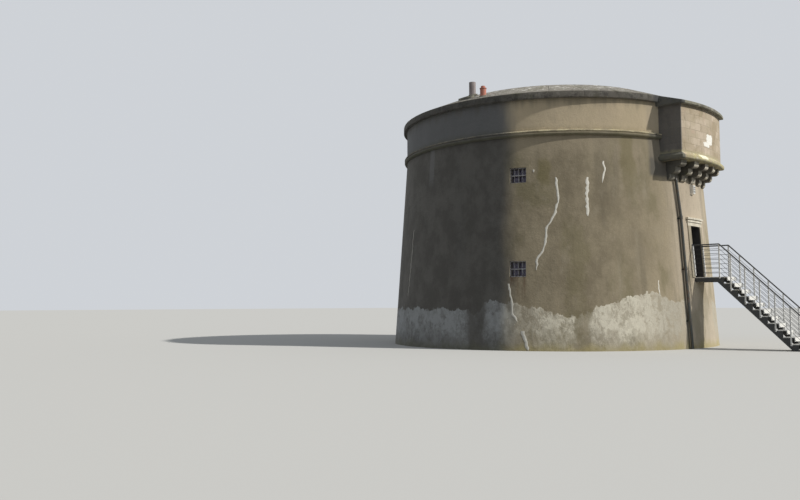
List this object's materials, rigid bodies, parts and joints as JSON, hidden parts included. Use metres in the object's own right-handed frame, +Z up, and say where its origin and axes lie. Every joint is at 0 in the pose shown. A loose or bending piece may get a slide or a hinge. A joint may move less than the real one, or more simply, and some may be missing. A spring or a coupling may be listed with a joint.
{
  "type": "martello tower with an external steel stair",
  "caption": "Round battered masonry tower with parapet, open gun platform, machicolated bay on corbels over a raised entrance, and an outside steel stair.",
  "frame": {"origin": "on the axis of the tower, at ground level, in the underside of the ground floor", "axes": "+Z up along the axis of the tower; -Y is the entrance front, where the stair runs out; +X is to the right of someone who faces the entrance from outside"},
  "size_m": [13, 16.6017, 9.9055],
  "materials": {
    "wall_render": "rough weathered cement render, streaked and stained",
    "parapet_render": "rough weathered cement render",
    "coping_stone": "weathered stone with lichen",
    "bay_stone": "coursed stone, worn and lichened",
    "corbel_stone": "dressed stone, weathered",
    "dressed_stone": "pale painted stone",
    "platform_paving": "worn paving",
    "floor_stone": "stone slab",
    "floor_boards": "old floor boards",
    "door_timber": "dark painted planks",
    "window_timber": "dark painted timber",
    "window_glass": "old window glass",
    "chimney_render": "rough render",
    "buff_clay": "matt fired clay",
    "red_clay": "matt fired clay",
    "cast_iron_pipe": "dull paint, worn",
    "lamp_body": "satin paint",
    "white_steel": "white gloss paint, chipped",
    "dark_steel": "dark grey paint, worn"
  },
  "bodies": {
    "root": {"bay_coping": "coping_stone", "bay_front_wall": "bay_stone", "bay_left_cheek": "bay_stone", "bay_right_cheek": "bay_stone", "bay_sill": "bay_stone", "buff_chimney_pot": "buff_clay", "chimney_stack": "chimney_render", "corbels": "corbel_stone", "door_cornice": "dressed_stone", "door_frame": "door_timber", "door_leaf": "door_timber", "door_sill": "dressed_stone", "door_surround": "dressed_stone", "downpipe": "cast_iron_pipe", "firing_step": "platform_paving", "first_floor": "floor_boards", "ground_floor": "floor_stone", "gun_platform": "platform_paving", "landing_deck": "white_steel", "left_coping": "coping_stone", "left_door_pier": "wall_render", "left_front_wall": "wall_render", "left_parapet": "parapet_render", "left_posts": "white_steel", "left_rails": "dark_steel", "left_rear_wall": "wall_render", "left_stringer": "dark_steel", "left_window_wall": "wall_render", "lower_window_frames": "window_timber", "lower_window_glass": "window_glass", "rear_coping": "coping_stone", "rear_parapet": "parapet_render", "rear_window_wall": "wall_render", "red_chimney_pot": "red_clay", "right_coping": "coping_stone", "right_door_pier": "wall_render", "right_front_wall": "wall_render", "right_parapet": "parapet_render", "right_posts": "white_steel", "right_rails": "dark_steel", "right_rear_wall": "wall_render", "right_stringer": "dark_steel", "right_window_wall": "wall_render", "stair_treads": "white_steel", "string_course": "parapet_render", "upper_floor": "floor_boards", "upper_window_frames": "window_timber", "upper_window_glass": "window_glass", "wall_below_door": "wall_render", "wall_lamp": "lamp_body", "wall_over_door": "wall_render"}
  },
  "joints": []
}
